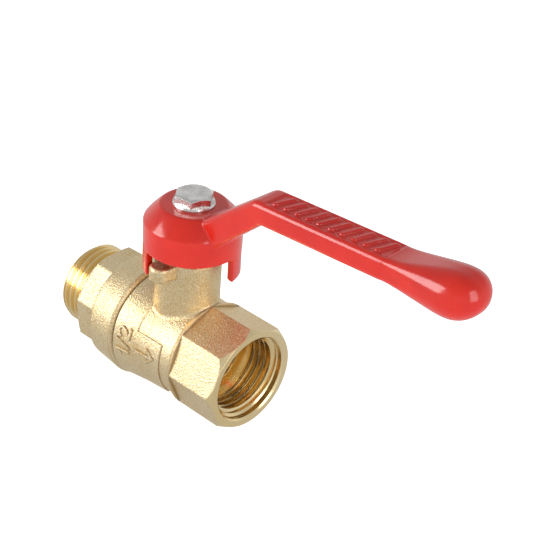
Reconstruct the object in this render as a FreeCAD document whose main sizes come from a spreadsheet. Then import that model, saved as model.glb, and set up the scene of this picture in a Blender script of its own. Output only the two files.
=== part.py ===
import FreeCAD, Part
import math
import os
import re
import Sketcher

# Lever ball valve, G 1/2 (DN 15), female thread on one end and male thread on the other.
# X is the pipe axis and points out of the female end, Z is the stem axis and points up.
# The origin is the centre of the ball, where both axes cross. The lever lies over +X: open.

OBJECT = "Sizes"
# Tolerance for finding an edge by its place, in millimetres.
NEAR = 1e-3
# A half circle needs a radius this much over half its chord to bulge the right way.
HALF_CIRCLE = "1.0001"
# Grip: share of the swell's length, and how much of the full section is reached there.
GRIP_SWELL = ((0.25, 0.10), (0.52, 0.48), (0.78, 0.86), (1.0, 1.0))
# Grip: places round the end dome, degrees from its foot to its tip.
GRIP_DOME = (30, 52, 70, 84)
# Corner rounding of the full grip as a share of its height, just short of a half circle.
GRIP_CORNER = "0.49"

# name, value in millimetres (or degrees where the text says so), meaning
SIZES = [
    ("thread_major_dia", 20.955, "G 1/2 pipe thread, outer diameter"),
    ("thread_pitch", 1.814, "G 1/2 pipe thread, 14 turns per inch"),
    ("thread_depth", 1.162, "G 1/2 pipe thread, depth"),
    ("thread_past", 0.2, "how far the thread cutter reaches past the crests"),
    ("thread_lead", 1.5, "how far ahead of the male end face the thread cut starts"),
    ("thread_crest", 0.30, "flat left on each thread crest"),
    ("ball_dia", 20.0, "ball"),
    ("port_dia", 13.0, "bore through the ball"),
    ("ball_gap", 0.6, "room between the ball and the cavity wall"),
    ("seat_bore_dia", 13.8, "bore through seats, shoulder and tail"),
    ("seat_lip", 0.693, "thickness of each seat's edge at its bore"),
    ("seat_width", 3.0, "seat ring, length along the pipe"),
    ("seat_land", 1.262, "seat ring, wall outside its hollow face"),
    ("seat_fit", 0.05, "running clearance between ball and seat"),
    ("join_overlap", 0.1, "how far joined features run into each other"),
    ("cut_past", 1.0, "how far a cut runs past the surface it opens"),
    ("side_fit", 0.02, "clearance round a part that is pressed or screwed in"),
    ("female_face", 21.0, "ball centre to the female end face"),
    ("female_wall", 1.9487, "female octagon, wall over the thread at the flats"),
    ("female_rim", 1.9725, "female end, rim outside the thread left by the turned chamfer"),
    ("female_rim_depth", 1.3, "female octagon, depth of the turned chamfer"),
    ("female_octagon_end", 7.2, "ball centre to the inner end of the octagon"),
    ("female_mouth_depth", 0.4, "depth of that chamfer"),
    ("recess_room", 0.0725, "room of the plain recess round the female thread"),
    ("female_recess_depth", 1.6, "end face to the bottom of that recess"),
    ("relief_room", 0.1725, "room of the run-out groove round the female thread"),
    ("female_relief_width", 1.4, "run-out groove, width"),
    ("shoulder_wall", 1.6, "wall between the female socket and the seat"),
    ("octagon_slope", 1.6, "length of the octagon's sloped shoulder"),
    ("octagon_sink", 0.1, "octagon's foot, depth inside the barrel"),
    ("barrel_wall", 1.9, "wall round the ball under the octagon"),
    ("barrel_under", 1.3, "how far the barrel runs under the octagon"),
    ("joint_wall", 2.05, "wall of the barrel over the screwed joint"),
    ("barrel_arc", 160.0, "radius of the barrel's slightly hollow outline"),
    ("band_width", 7.1, "raised band round the barrel, width"),
    ("pad_rise", 0.35, "height of the raised band and of the raised pad"),
    ("pad_gap", 2.7, "raised pad to the foot of the octagon"),
    ("pad_from", 65.0, "top of the barrel to the pad's upper edge, degrees"),
    ("pad_sweep", 70.0, "raised pad, sweep round the barrel, degrees"),
    ("joint_x", -12.0, "ball centre to the joint face"),
    ("joint_chamfer", 0.4, "edge break on both sides of the joint"),
    ("joint_step", 1.3, "step from the ball's cavity to the screwed joint"),
    ("seat_proud", 0.4, "how far a seat stands out of the screwed nose"),
    ("nose_gap", 0.15, "least room between the screwed nose and the hole for the stem collar"),
    ("neck_wall", 1.2, "wall of the neck at its foot"),
    ("neck_flare", 0.15, "how far the neck widens towards its top"),
    ("plug_length", 3.5, "screwed plug of the gland nut"),
    ("neck_edge", 0.5, "edge break on the neck"),
    ("foot_round", 1.6, "rounding where neck and rib meet the barrel"),
    ("stop_width", 5.2, "stop boss, width of its rounded end"),
    ("stop_past_bell", 0.35, "how far the stop boss stands out beyond the bell"),
    ("stop_drop", 3.6, "top of the neck to the underside of the stop boss"),
    ("stop_step", 0.2, "top of the neck to the top of the stop boss"),
    ("stop_round", 0.8, "rounding of the stop boss"),
    ("stop_turn", 5.0, "stop boss, turn from -Y towards -X, degrees"),
    ("rib_rise", 1.8, "how far the neck's thick side stands out"),
    ("rib_narrow", 1.5, "thick side of the neck, each side inside the neck's width"),
    ("rib_turn", 35.0, "thick side of the neck, turn from -Y towards -X, degrees"),
    ("stem_dia", 8.0, "stem"),
    ("stem_fit", 0.05, "running clearance round the stem"),
    ("collar_step", 1.1, "stem collar, width of its step"),
    ("collar_gap", 0.9, "top of the ball to the stem collar"),
    ("collar_height", 1.4, "stem collar, height"),
    ("collar_fit", 0.15, "clearance round the stem collar"),
    ("washer_height", 0.8, "thrust washer on the collar"),
    ("tang_width", 4.9, "stem tang across its flats"),
    ("tang_length", 8.0, "stem tang, length"),
    ("slot_fit", 0.05, "clearance on each side of the tang"),
    ("slot_depth", 2.8, "depth of the slot in the ball"),
    ("tang_gap", 0.2, "room under the tang"),
    ("groove_above", 1.8, "thrust washer to the middle of the lower O-ring"),
    ("groove_step", 2.3, "from the lower to the upper O-ring"),
    ("groove_width", 1.3, "O-ring groove, width"),
    ("groove_depth", 1.0, "O-ring groove, depth"),
    ("ring_fit", 0.01, "gap round an O-ring"),
    ("gland_width", 1.7, "gland chamber, width round the stem"),
    ("gland_above", 1.8, "upper O-ring to the bottom of the gland chamber"),
    ("packing_height", 1.25, "one packing ring"),
    ("nut_step", 0.3, "gland nut, flats outside the screwed plug"),
    ("nut_head", 2.8, "gland nut, head height"),
    ("nut_chamfer", 0.5, "gland nut, chamfer on the corners"),
    ("nut_room", 0.25, "room round the gland nut's corners"),
    ("hub_gap", 0.4, "between gland nut and lever hub"),
    ("square_step", 0.2218, "stem's diameter less the square's corners"),
    ("square_height", 2.8, "square on the stem, height"),
    ("square_room", 0.3, "room above the stem inside the lever's square hole"),
    ("square_fit", 0.04, "clearance round the square"),
    ("screw_dia", 5.0, "M5 screw"),
    ("screw_grip", 4.2, "depth of the screw in the stem"),
    ("pilot_spare", 1.8, "depth of the tapped hole below the screw"),
    ("screw_clear", 0.25, "room round the screw in the lever"),
    ("hub_roof", 7.1, "stem's end to the flat top of the lever's bell"),
    ("bell_top_dia", 15.6, "flat top of the bell"),
    ("bell_cone", 4.1, "height of the bell's cone"),
    ("bell_dia", 23.1, "bell skirt, outer diameter"),
    ("bell_wall", 1.8, "bell skirt, wall"),
    ("bell_lift", 2.4, "top of the neck to the lower edge of the bell"),
    ("bell_roof", 3.5, "bell, thickness of its top"),
    ("hub_dia", 13.2, "hub inside the bell"),
    ("lug_past", 0.1, "how far the two stop lugs reach below the stop boss"),
    ("lug_sweep", 42.0, "stop boss centre to the far end of a lug, degrees"),
    ("stop_gap", 0.2, "room between a lug and the stop boss"),
    ("bell_inner_edge", 1.0, "width of the bevel inside the bell's top corner"),
    ("bell_inner_drop", 0.4, "foot of that bevel below the bell's outer shoulder"),
    ("bell_crown_arc", 26.0, "bell, radius of its slightly rounded cone"),
    ("arm_width", 9.2, "lever arm, width"),
    ("arm_root_x", 6.9, "stem axis to the start of the arm's upper face"),
    ("arm_root_under_x", 10.9, "stem axis to the start of the arm's lower face"),
    ("arm_root_drop", 5.6, "top of the bell to the start of the arm's lower face"),
    ("knee_x", 22.0, "stem axis to the upper knee"),
    ("crank", 11.6, "top of the bell to the upper knee"),
    ("knee_under_x", 24.3, "stem axis to the lower knee"),
    ("arm_thickness", 5.6, "lever arm, thickness of its long run"),
    ("arm_slope", 3.4, "rise of the long run, degrees"),
    ("arm_end_x", 57.0, "stem axis to the start of the grip"),
    ("knee_round", 3.6, "rounding of the upper knee"),
    ("knee_under_round", 2.4, "rounding of the lower knee"),
    ("arm_round", 1.5, "rounding of the arm's long edges"),
    ("panel_margin", 1.3, "side of the arm to the sunk panel"),
    ("panel_depth", 0.35, "sunk panel, depth"),
    ("panel_start", 3.0, "upper knee to the panel, along the arm"),
    ("panel_past", 0.938, "how far the sunk panel runs into the grip's swell"),
    ("bar_count", 10, "raised slanted bars in the panel, a plain number"),
    ("bar_width", 1.2, "raised bar, width"),
    ("bar_slant", 1.6, "raised bar, shift from one side to the other"),
    ("bar_side", 0.7, "side of the panel to the bars"),
    ("bar_rise", 0.3, "height of the bars above the arm's face"),
    ("bar_margin", 1.0, "end of the panel to the nearest bar"),
    ("grip_width", 12.2, "grip, greatest width"),
    ("grip_height", 10.6, "grip, greatest height"),
    ("grip_swell", 17.0, "end of the arm to the widest part of the grip"),
    ("grip_dome", 6.2, "widest part of the grip to its end"),
    ("male_thread_length", 7.0, "male thread, length to the end face"),
    ("male_chamfer", 0.8, "chamfer on the male thread"),
    ("tail_octagon_length", 6.9, "tail octagon, length"),
    ("relief_sink", 0.1155, "depth of the run-out groove below the male thread"),
    ("male_relief_width", 1.1, "run-out groove, width"),
    ("tail_shoulder", 0.8225, "tail shoulder behind the male thread, height over the thread"),
    ("tail_shoulder_depth", 1.0, "tail octagon, depth of the turned chamfer"),
    ("tail_rise", 2.7225, "tail octagon, height of its corners over the thread"),
    ("tail_turn", 27.0, "tail octagon, turn about the pipe axis, degrees"),
    ("flange_length", 9.0, "tail flange, length"),
    ("flange_low", 0.15, "tail flange, height over the barrel at the octagon"),
    ("flange_high", 0.85, "tail flange, height over the barrel at the joint"),
    ("flange_fillet", 0.5, "length of the flange's sloped sides"),
    ("flange_lip", 1.0, "length of the slope down to the joint"),
    ("joint_ring_dia", 1.7, "O-ring in the joint, thickness"),
    ("joint_ring_back", 1.6, "joint face to the middle of that O-ring"),
    ("joint_groove_width", 2.0, "groove of that O-ring, width"),
    ("washer_face_dia", 9.9, "screw, flange under the head"),
    ("washer_face_height", 0.8, "screw, height of that flange"),
    ("head_flats", 8.2, "screw head, across flats"),
    ("head_height", 2.8, "screw head with its flange, height"),
    ("head_chamfer_drop", 0.5, "screw head, height of that chamfer"),
    ("head_chamfer", 1.0, "screw head, chamfer on the corners"),
    ("head_turn", 8.0, "screw head, turn about the stem axis, degrees"),
]

# Sizes worked out from the ones above.
DERIVED = {
    "seat_back": "(sqrt((ball_r + seat_fit)^2 - (seat_bore_dia / 2)^2) + seat_lip)",
    "seat_front": "(seat_back - seat_width)",
    "seat_od": "(2 * (sqrt((ball_r + seat_fit)^2 - seat_front^2) + seat_land))",
    "female_corner_dia": "((thread_major_dia + 2 * female_wall) / cos(22.5))",
    "female_rim_dia": "(thread_major_dia + 2 * female_rim)",
    "female_mouth_dia": "(female_recess_dia + 2 * female_mouth_depth)",
    "female_recess_dia": "(thread_major_dia + 2 * recess_room)",
    "female_relief_dia": "(thread_major_dia + 2 * relief_room)",
    "male_relief_dia": "(thread_major_dia - 2 * thread_depth - 2 * relief_sink)",
    "tail_shoulder_dia": "(thread_major_dia + 2 * tail_shoulder)",
    "tail_corner_dia": "(thread_major_dia + 2 * tail_rise)",
    "octagon_foot": "(female_octagon_end - octagon_slope)",
    "barrel_small_x": "(female_octagon_end + barrel_under)",
    "octagon_foot_dia": "(barrel_small_dia - 2 * octagon_sink)",
    "barrel_small_dia": "(2 * (ball_r + ball_gap + barrel_wall))",
    "barrel_large_dia": "(joint_thread_dia + 2 * joint_wall)",
    "joint_thread_dia": "(2 * (ball_r + ball_gap + joint_step))",
    "band_end": "(joint_x + band_width)",
    "pad_end": "(octagon_foot - pad_gap)",
    # The screwed nose stops short of the stem collar and of the seat's front.
    "joint_nose": "max(seat_front + seat_proud; collar_dia / 2 + collar_fit + nose_gap)",
    "neck_low_dia": "(gland_dia + 2 * neck_wall)",
    "neck_high_dia": "(neck_low_dia + 2 * neck_flare)",
    "neck_top": "(gland_bottom + 2 * packing_height + plug_length)",
    "nut_under_head": "neck_top",
    "stop_reach": "(bell_dia / 2 + stop_past_bell)",
    "stop_bottom": "(neck_top - stop_drop)",
    "stop_top": "(neck_top - stop_step)",
    "rib_reach": "(neck_low_dia / 2 + rib_rise)",
    "rib_width": "(neck_low_dia - 2 * rib_narrow)",
    "collar_dia": "(stem_dia + 2 * collar_step)",
    "collar_bottom": "(ball_r + collar_gap)",
    "slot_bottom": "(ball_r - slot_depth)",
    "groove_low": "(collar_bottom + collar_height + washer_height + groove_above)",
    "groove_floor_dia": "(stem_dia - 2 * groove_depth)",
    "gland_dia": "(stem_dia + 2 * gland_width)",
    "gland_bottom": "(groove_low + groove_step + gland_above)",
    "nut_flats": "(gland_dia + 2 * nut_step)",
    "square_flats": "((stem_dia - square_step) / sqrt(2))",
    "screw_pilot": "(screw_grip + pilot_spare)",
    "screw_clear_dia": "(screw_dia + 2 * screw_clear)",
    "bell_top": "(hub_bottom + square_height + hub_roof)",
    "bell_shoulder": "(bell_top - bell_cone)",
    "bell_bottom": "(neck_top + bell_lift)",
    "lug_bottom": "(stop_bottom - lug_past)",
    "arm_root_under_z": "(bell_top - arm_root_drop)",
    "knee_z": "(bell_top + crank)",
    "panel_width": "(arm_width - 2 * panel_margin)",
    "panel_length": "((arm_end_x - knee_x) / cos(arm_slope) - panel_start + panel_past)",
    "bar_reach": "(panel_width / 2 - bar_side)",
    "tail_octagon_end": "(joint_x - flange_length)",
    "male_thread_back": "(tail_octagon_end - tail_octagon_length - male_relief_width)",
    "male_end": "(male_thread_back - male_thread_length)",
    "flange_small_dia": "(barrel_large_dia + 2 * flange_low)",
    "flange_large_dia": "(barrel_large_dia + 2 * flange_high)",
    "major_r": "(thread_major_dia / 2)",
    "minor_r": "(thread_major_dia / 2 - thread_depth)",
    "ball_r": "(ball_dia / 2)",
    "cavity_r": "(ball_dia / 2 + ball_gap)",
    "seat_bore_r": "(seat_bore_dia / 2)",
    "pocket_r": "(seat_od / 2 + side_fit)",
    "socket_floor": "(seat_back + shoulder_wall)",
    "collar_top": "(collar_bottom + collar_height)",
    "washer_top": "(collar_bottom + collar_height + washer_height)",
    "stem_bore_r": "(stem_dia / 2 + stem_fit)",
    "tang_bottom": "(slot_bottom + tang_gap)",
    "nut_top": "(nut_under_head + nut_head)",
    "hub_bottom": "(nut_under_head + nut_head + hub_gap)",
    "stem_top": "(nut_under_head + nut_head + hub_gap + square_height)",
    "gland_r": "(gland_dia / 2)",
    "plug_r": "(gland_dia / 2 - side_fit)",
    "packing_top": "(gland_bottom + 2 * packing_height)",
    "bell_r": "(bell_dia / 2)",
    "bell_inner_r": "(bell_dia / 2 - bell_wall)",
    "stop_r": "(stop_width / 2)",
    "stop_y": "(stop_reach - stop_width / 2)",
    "rib_r": "(rib_width / 2)",
    "rib_y": "(rib_reach - rib_width / 2)",
    # Radius of the barrel's hollow outline at the ends of the band and of the pad.
    "barrel_fall": "((barrel_large_dia - barrel_small_dia) / 2 / (barrel_small_x - joint_x - joint_chamfer))",
    "barrel_at_band": "(barrel_small_dia / 2 + barrel_fall * (barrel_small_x - band_end)"
                      " - (barrel_small_x - band_end) * (band_end - joint_x - joint_chamfer)"
                      " / (2 * barrel_arc))",
    "barrel_at_pad": "(barrel_small_dia / 2 + barrel_fall * (barrel_small_x - pad_end)"
                     " - (barrel_small_x - pad_end) * (pad_end - joint_x - joint_chamfer)"
                     " / (2 * barrel_arc))",
    # Sides of the neck's thick side, tangent to the neck and to its round face.
    "rib_sin": "((neck_low_dia / 2 - rib_width / 2) / (rib_reach - rib_width / 2))",
    "rib_cos": "sqrt(1 - rib_sin^2)",
    # Half width of the round-ended boss, where the inside of the skirt passes it.
    "stop_cos": "(((bell_dia / 2 - bell_wall)^2 - stop_y^2 - stop_r^2) / (2 * stop_y * stop_r))",
    "lug_offset": "(stop_r * sqrt(1 - stop_cos^2) + stop_gap)",
    "run_end_z": "(knee_z + (arm_end_x - knee_x) * tan(arm_slope))",
    "knee_under_z": "(knee_z + (knee_under_x - knee_x) * tan(arm_slope) - arm_thickness / cos(arm_slope))",
    "joint_r": "(joint_thread_dia / 2)",
    "joint_bore_r": "(joint_thread_dia / 2 + side_fit)",
    "ring_floor_r": "(joint_thread_dia / 2 + side_fit - joint_ring_dia - 2 * ring_fit)",
}

doc = FreeCAD.newDocument("BallValve")
sheet = doc.addObject("Spreadsheet::Sheet", OBJECT)
for row, (alias, value, meaning) in enumerate(SIZES, start=1):
    sheet.set("A%d" % row, alias)
    sheet.set("B%d" % row, str(value))
    sheet.setAlias("B%d" % row, alias)
    sheet.set("C%d" % row, meaning)
doc.recompute()
ALIASES = {alias for alias, value, meaning in SIZES}
WORD = re.compile(r"[a-z][a-z0-9_]*")


def bind(text):
    """Write a formula in the sheet's names as an expression that FreeCAD can hold."""
    while any(word in DERIVED for word in WORD.findall(text)):
        text = WORD.sub(lambda found: DERIVED.get(found.group(0), found.group(0)), text)
    return WORD.sub(
        lambda found: OBJECT + "." + found.group(0) if found.group(0) in ALIASES else found.group(0),
        text,
    )


def number(text):
    """Value of a formula in the sheet's names."""
    value = sheet.evalExpression(bind(text))
    return float(getattr(value, "Value", value))


def polar_corner(radius, angle):
    """Formulas for a corner at a radius and an angle in degrees."""
    return ("%s * cos(%s)" % (radius, angle), "%s * sin(%s)" % (radius, angle))


def new_body(label):
    body = doc.addObject("PartDesign::Body", label)
    body.Label = label
    return body


def new_sketch(body, name, plane, offset=None):
    """Empty sketch on one of the body's own origin planes."""
    sketch = body.newObject("Sketcher::SketchObject", name)
    support = [item for item in body.Origin.OriginFeatures if item.Role == plane][0]
    sketch.AttachmentSupport = (support, [""])
    sketch.MapMode = "FlatFace"
    if offset:
        height, place = offset
        sketch.AttachmentOffset = place
        if height:
            sketch.setExpression("AttachmentOffset.Base.z", bind(height))
    return sketch


def at_height(formula):
    """Sketch offset along its plane's normal, tied to the sheet."""
    return (formula, FreeCAD.Placement(FreeCAD.Vector(0, 0, number(formula)), FreeCAD.Rotation()))


def turn_sketch(sketch, angle):
    """Turn a sketch on the XY plane clockwise about the stem axis, tied to the sheet."""
    place = sketch.AttachmentOffset
    place.Rotation = FreeCAD.Rotation(FreeCAD.Vector(0, 0, -1), number(angle))
    sketch.AttachmentOffset = place
    sketch.setExpression("AttachmentOffset.Rotation.Angle", bind(angle))


def arc_middle(start, end, radius):
    """Middle point of the short arc from start to end; a positive radius bulges to the right."""
    chord = end.sub(start)
    half = chord.Length / 2
    rise = abs(radius) - math.sqrt(radius * radius - half * half)
    side = FreeCAD.Vector(chord.y, -chord.x, 0).normalize()
    return start.add(chord * 0.5).add(side * math.copysign(rise, radius))


def outline(sketch, corners):
    """Closed outline. Each corner is (x, y) or (x, y, radius of the arc to the next corner)."""
    spots = [FreeCAD.Vector(number(corner[0]), number(corner[1]), 0) for corner in corners]
    ends = []
    for index, corner in enumerate(corners):
        start = spots[index]
        end = spots[(index + 1) % len(spots)]
        if len(corner) == 3:
            middle = arc_middle(start, end, number(corner[2]))
            edge = sketch.addGeometry(Part.Arc(start, middle, end), False)
            size = corner[2].lstrip("-")
            held = sketch.addConstraint(Sketcher.Constraint("Radius", edge, number(size)))
            sketch.setExpression("Constraints[%d]" % held, bind(size))
        else:
            edge = sketch.addGeometry(Part.LineSegment(start, end), False)
        first = 1 if sketch.getPoint(edge, 1).isEqual(start, NEAR) else 2
        ends.append((edge, first, 3 - first))
    for index, (edge, first, last) in enumerate(ends):
        following = ends[(index + 1) % len(ends)]
        sketch.addConstraint(Sketcher.Constraint("Coincident", edge, last, following[0], following[1]))
        for kind, formula in (("DistanceX", corners[index][0]), ("DistanceY", corners[index][1])):
            held = sketch.addConstraint(Sketcher.Constraint(kind, -1, 1, edge, first, number(formula)))
            if WORD.search(formula):
                sketch.setExpression("Constraints[%d]" % held, bind(formula))


def circle(sketch, radius):
    """Circle about the sketch's origin."""
    ring = Part.Circle(FreeCAD.Vector(0, 0, 0), FreeCAD.Vector(0, 0, 1), number(radius))
    edge = sketch.addGeometry(ring, False)
    sketch.addConstraint(Sketcher.Constraint("Coincident", edge, 3, -1, 1))
    held = sketch.addConstraint(Sketcher.Constraint("Radius", edge, number(radius)))
    sketch.setExpression("Constraints[%d]" % held, bind(radius))


def polygon(sketch, sides, radius, turn="0"):
    """Regular polygon about the sketch's origin, from its corner radius and a turn in degrees."""
    step = 360 / sides
    outline(sketch, [polar_corner(radius, "%g + %s" % (step * side, turn)) for side in range(sides)])


def revolve(sketch, axis, cut=False):
    """Turn a sketch once about its horizontal (H_Axis) or vertical (V_Axis) axis."""
    body = sketch.getParentGeoFeatureGroup()
    kind = "PartDesign::Groove" if cut else "PartDesign::Revolution"
    feature = body.newObject(kind, sketch.Name + "_turn")
    feature.Profile = sketch
    feature.ReferenceAxis = (sketch, [axis])
    feature.Angle = 360
    return feature


def push(sketch, length, cut=False, both=False, back=False):
    """Pad or pocket a sketch by a length; both spreads it evenly to each side."""
    body = sketch.getParentGeoFeatureGroup()
    kind = "PartDesign::Pocket" if cut else "PartDesign::Pad"
    feature = body.newObject(kind, sketch.Name + "_push")
    feature.Profile = sketch
    if both:
        feature.SideType = "Symmetric"
    feature.Reversed = back
    feature.setExpression("Length", bind(length))
    return feature


def soften(body, kind, name, size, wanted):
    """Fillet or chamfer those edges of the body's last feature that the test accepts."""
    doc.recompute()
    base = body.Tip
    names = ["Edge%d" % (index + 1) for index, edge in enumerate(base.Shape.Edges) if wanted(edge)]
    if not names:
        raise ValueError("no edges for " + name)
    feature = body.newObject("PartDesign::" + kind, name)
    feature.Base = (base, names)
    feature.setExpression("Radius" if kind == "Fillet" else "Size", bind(size))
    return feature


def helical_groove(body, name, tip_x, tip_y, open_y, half_mouth, half_tip, height):
    """Cut a vee thread: a trapezoid in the XZ plane wound about X towards +X."""
    sketch = new_sketch(body, name + "_tooth", "XZ_Plane")
    outline(sketch, [
        (tip_x + " - " + half_mouth, open_y),
        (tip_x + " + " + half_mouth, open_y),
        (tip_x + " + " + half_tip, tip_y),
        (tip_x + " - " + half_tip, tip_y),
    ])
    helix = body.newObject("PartDesign::SubtractiveHelix", name)
    helix.Profile = sketch
    helix.ReferenceAxis = (sketch, ["H_Axis"])
    helix.Mode = "pitch-height-angle"
    helix.setExpression("Pitch", bind("thread_pitch"))
    helix.setExpression("Height", bind(height))
    return helix


def make_valve_body():
    """Cast body: female socket, ball barrel, neck and stop boss in one piece."""
    body = new_body("valve_body")
    barrel = new_sketch(body, "body_barrel", "XZ_Plane")
    outline(barrel, [
        ("joint_x", "0"),
        ("barrel_small_x", "0"),
        ("barrel_small_x", "barrel_small_dia / 2", "-barrel_arc"),
        ("joint_x + joint_chamfer", "barrel_large_dia / 2"),
        ("joint_x", "barrel_large_dia / 2"),
    ])
    revolve(barrel, "H_Axis")

    rib = new_sketch(body, "body_rib", "XY_Plane")
    turn_sketch(rib, "rib_turn")
    outline(rib, [
        ("0", "0"),
        ("-neck_low_dia / 2 * rib_cos", "-neck_low_dia / 2 * rib_sin"),
        ("-rib_r * rib_cos", "-rib_y - rib_r * rib_sin", "rib_r"),
        ("rib_r * rib_cos", "-rib_y - rib_r * rib_sin"),
        ("neck_low_dia / 2 * rib_cos", "-neck_low_dia / 2 * rib_sin"),
    ])
    push(rib, "neck_top - neck_edge")

    neck = new_sketch(body, "body_neck", "XZ_Plane")
    outline(neck, [
        ("0", "0"),
        ("neck_low_dia / 2", "0"),
        ("neck_low_dia / 2", "barrel_large_dia / 2 + foot_round"),
        ("neck_high_dia / 2", "neck_top - neck_edge"),
        ("neck_high_dia / 2 - neck_edge", "neck_top"),
        ("0", "neck_top"),
    ])
    revolve(neck, "V_Axis")
    reach = number("rib_reach")
    foot_top = number("barrel_large_dia / 2")
    soften(body, "Fillet", "body_foot_round", "foot_round", lambda edge: (
        edge.BoundBox.ZMax < foot_top
        and edge.BoundBox.ZMin > 0
        and edge.BoundBox.YLength > NEAR
        and math.hypot(edge.CenterOfMass.x, edge.CenterOfMass.y) < reach))

    band = new_sketch(body, "body_band", "XZ_Plane")
    outline(band, [
        ("joint_x", "joint_bore_r"),
        ("band_end", "joint_bore_r"),
        ("band_end", "barrel_at_band - join_overlap / 2"),
        ("band_end - pad_rise", "barrel_at_band + pad_rise"),
        ("joint_x + joint_chamfer", "barrel_large_dia / 2 + pad_rise"),
        ("joint_x", "barrel_large_dia / 2 + pad_rise - joint_chamfer"),
    ])
    revolve(band, "H_Axis")

    pad = new_sketch(body, "body_pad", "XZ_Plane")
    pad.AttachmentOffset = FreeCAD.Placement(
        FreeCAD.Vector(0, 0, 0), FreeCAD.Rotation(FreeCAD.Vector(1, 0, 0), number("pad_from")))
    pad.setExpression("AttachmentOffset.Rotation.Angle", bind("pad_from"))
    outline(pad, [
        ("band_end - cut_past", "joint_bore_r"),
        ("pad_end", "joint_bore_r"),
        ("pad_end", "barrel_at_pad + pad_rise / 2"),
        ("pad_end - pad_rise / 2", "barrel_at_pad + pad_rise"),
        ("band_end - cut_past", "barrel_at_band + pad_rise"),
    ])
    raised = revolve(pad, "H_Axis")
    raised.setExpression("Angle", bind("pad_sweep"))

    socket = new_sketch(body, "body_octagon", "XZ_Plane")
    outline(socket, [
        ("octagon_foot", "0"),
        ("female_face", "0"),
        ("female_face", "female_rim_dia / 2"),
        ("female_face - female_rim_depth", "female_corner_dia / 2"),
        ("female_octagon_end", "female_corner_dia / 2"),
        ("octagon_foot", "octagon_foot_dia / 2"),
    ])
    revolve(socket, "H_Axis")

    flats = new_sketch(body, "body_flats", "YZ_Plane", at_height("female_face"))
    circle(flats, "female_corner_dia")
    polygon(flats, 8, "female_corner_dia / 2")
    push(flats, "female_face - female_octagon_end", cut=True)

    boss = new_sketch(body, "body_stop", "XY_Plane", at_height("stop_bottom"))
    turn_sketch(boss, "stop_turn")
    outline(boss, [
        ("-stop_r", "0"),
        ("-stop_r", "-stop_y", "stop_r * " + HALF_CIRCLE),
        ("stop_r", "-stop_y"),
        ("stop_r", "0"),
    ])
    push(boss, "stop_top - stop_bottom")
    top = number("stop_top")
    soften(body, "Fillet", "body_stop_round", "stop_round", lambda edge: (
        edge.BoundBox.ZMin > top - NEAR and edge.CenterOfMass.y < -number("neck_high_dia / 2")))

    inside = new_sketch(body, "body_inside", "XZ_Plane")
    outline(inside, [
        ("joint_x", "0"),
        ("joint_x", "joint_bore_r"),
        ("-joint_nose", "joint_bore_r"),
        ("-joint_nose", "cavity_r"),
        ("seat_front", "cavity_r"),
        ("seat_front", "pocket_r"),
        ("seat_back", "pocket_r"),
        ("seat_back", "seat_bore_r"),
        ("socket_floor", "seat_bore_r"),
        ("socket_floor", "female_relief_dia / 2"),
        ("socket_floor + female_relief_width", "female_relief_dia / 2"),
        ("socket_floor + female_relief_width", "minor_r"),
        ("female_face - female_recess_depth - thread_depth", "minor_r"),
        ("female_face - female_recess_depth", "female_recess_dia / 2"),
        ("female_face - female_mouth_depth", "female_recess_dia / 2"),
        ("female_face", "female_mouth_dia / 2"),
        ("female_face", "0"),
    ])
    revolve(inside, "H_Axis", cut=True)

    bore = new_sketch(body, "body_stem_bore", "XZ_Plane")
    outline(bore, [
        ("0", "seat_front"),
        ("collar_dia / 2 + collar_fit", "seat_front"),
        ("collar_dia / 2 + collar_fit", "washer_top"),
        ("stem_bore_r", "washer_top"),
        ("stem_bore_r", "gland_bottom"),
        ("gland_r", "gland_bottom"),
        ("gland_r", "nut_under_head"),
        ("nut_flats / sqrt(3) + nut_room", "nut_under_head"),
        ("nut_flats / sqrt(3) + nut_room", "stop_top + stop_round"),
        ("0", "stop_top + stop_round"),
    ])
    revolve(bore, "V_Axis", cut=True)

    helical_groove(
        body, "female_thread", "socket_floor + female_relief_width / 2", "major_r", "minor_r - thread_past",
        "(thread_pitch - thread_crest) / 2 + thread_past / 2", "thread_crest / 2",
        "female_face - female_recess_depth - socket_floor")
    return body


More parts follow.
